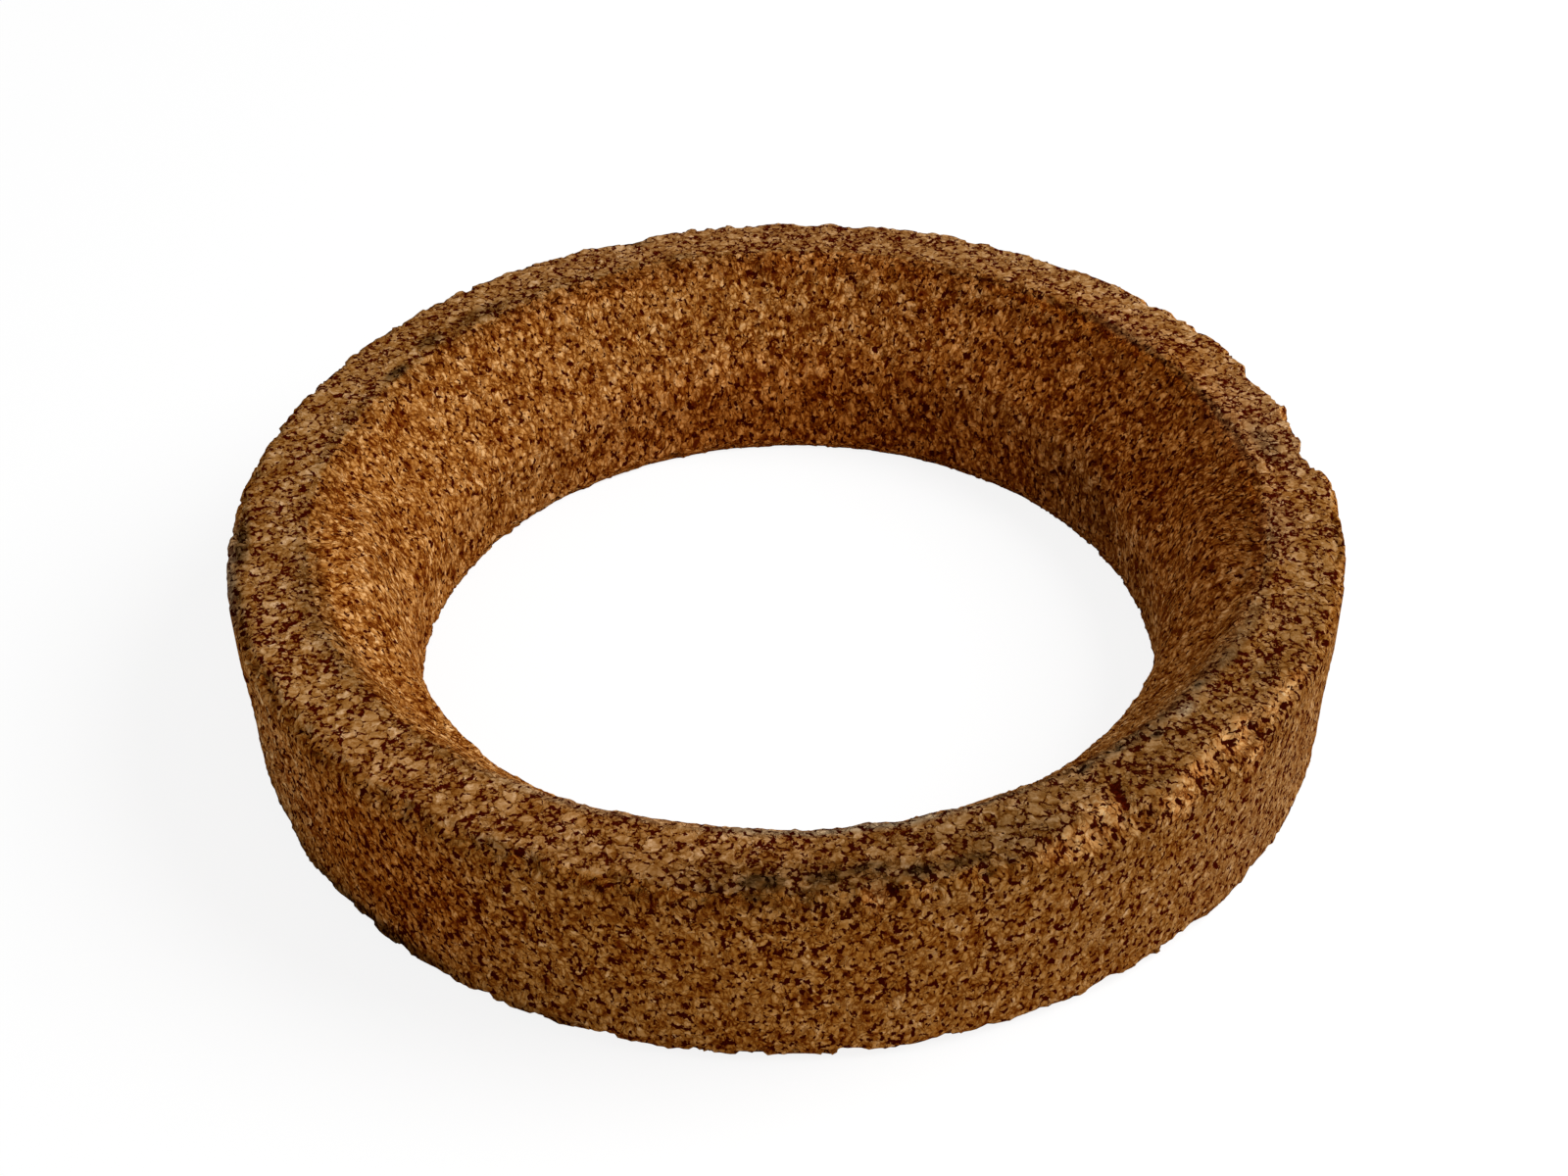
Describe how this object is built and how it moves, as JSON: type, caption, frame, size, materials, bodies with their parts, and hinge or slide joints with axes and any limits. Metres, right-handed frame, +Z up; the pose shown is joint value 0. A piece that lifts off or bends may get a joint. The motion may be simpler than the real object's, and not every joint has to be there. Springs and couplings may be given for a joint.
{
  "type": "cork ring",
  "caption": "Pressed cork ring with a sloped seat above a straight bore, which stands on a bench and holds a round-bottomed flask upright; its rim is worn and chipped.",
  "frame": {"origin": "middle of the underside, on the bore's axis, where the ring stands on the bench", "axes": "+Z up along the bore's axis, out of the flask seat; +Y points to the back, away from the broken stretch of the rim, and +X to the right"},
  "size_m": [0.1598, 0.1598, 0.0305],
  "materials": {
    "cork": "rough pressed cork granules, warm brown, dry and matt"
  },
  "bodies": {
    "root": {"cork_ring": "cork"}
  },
  "joints": []
}
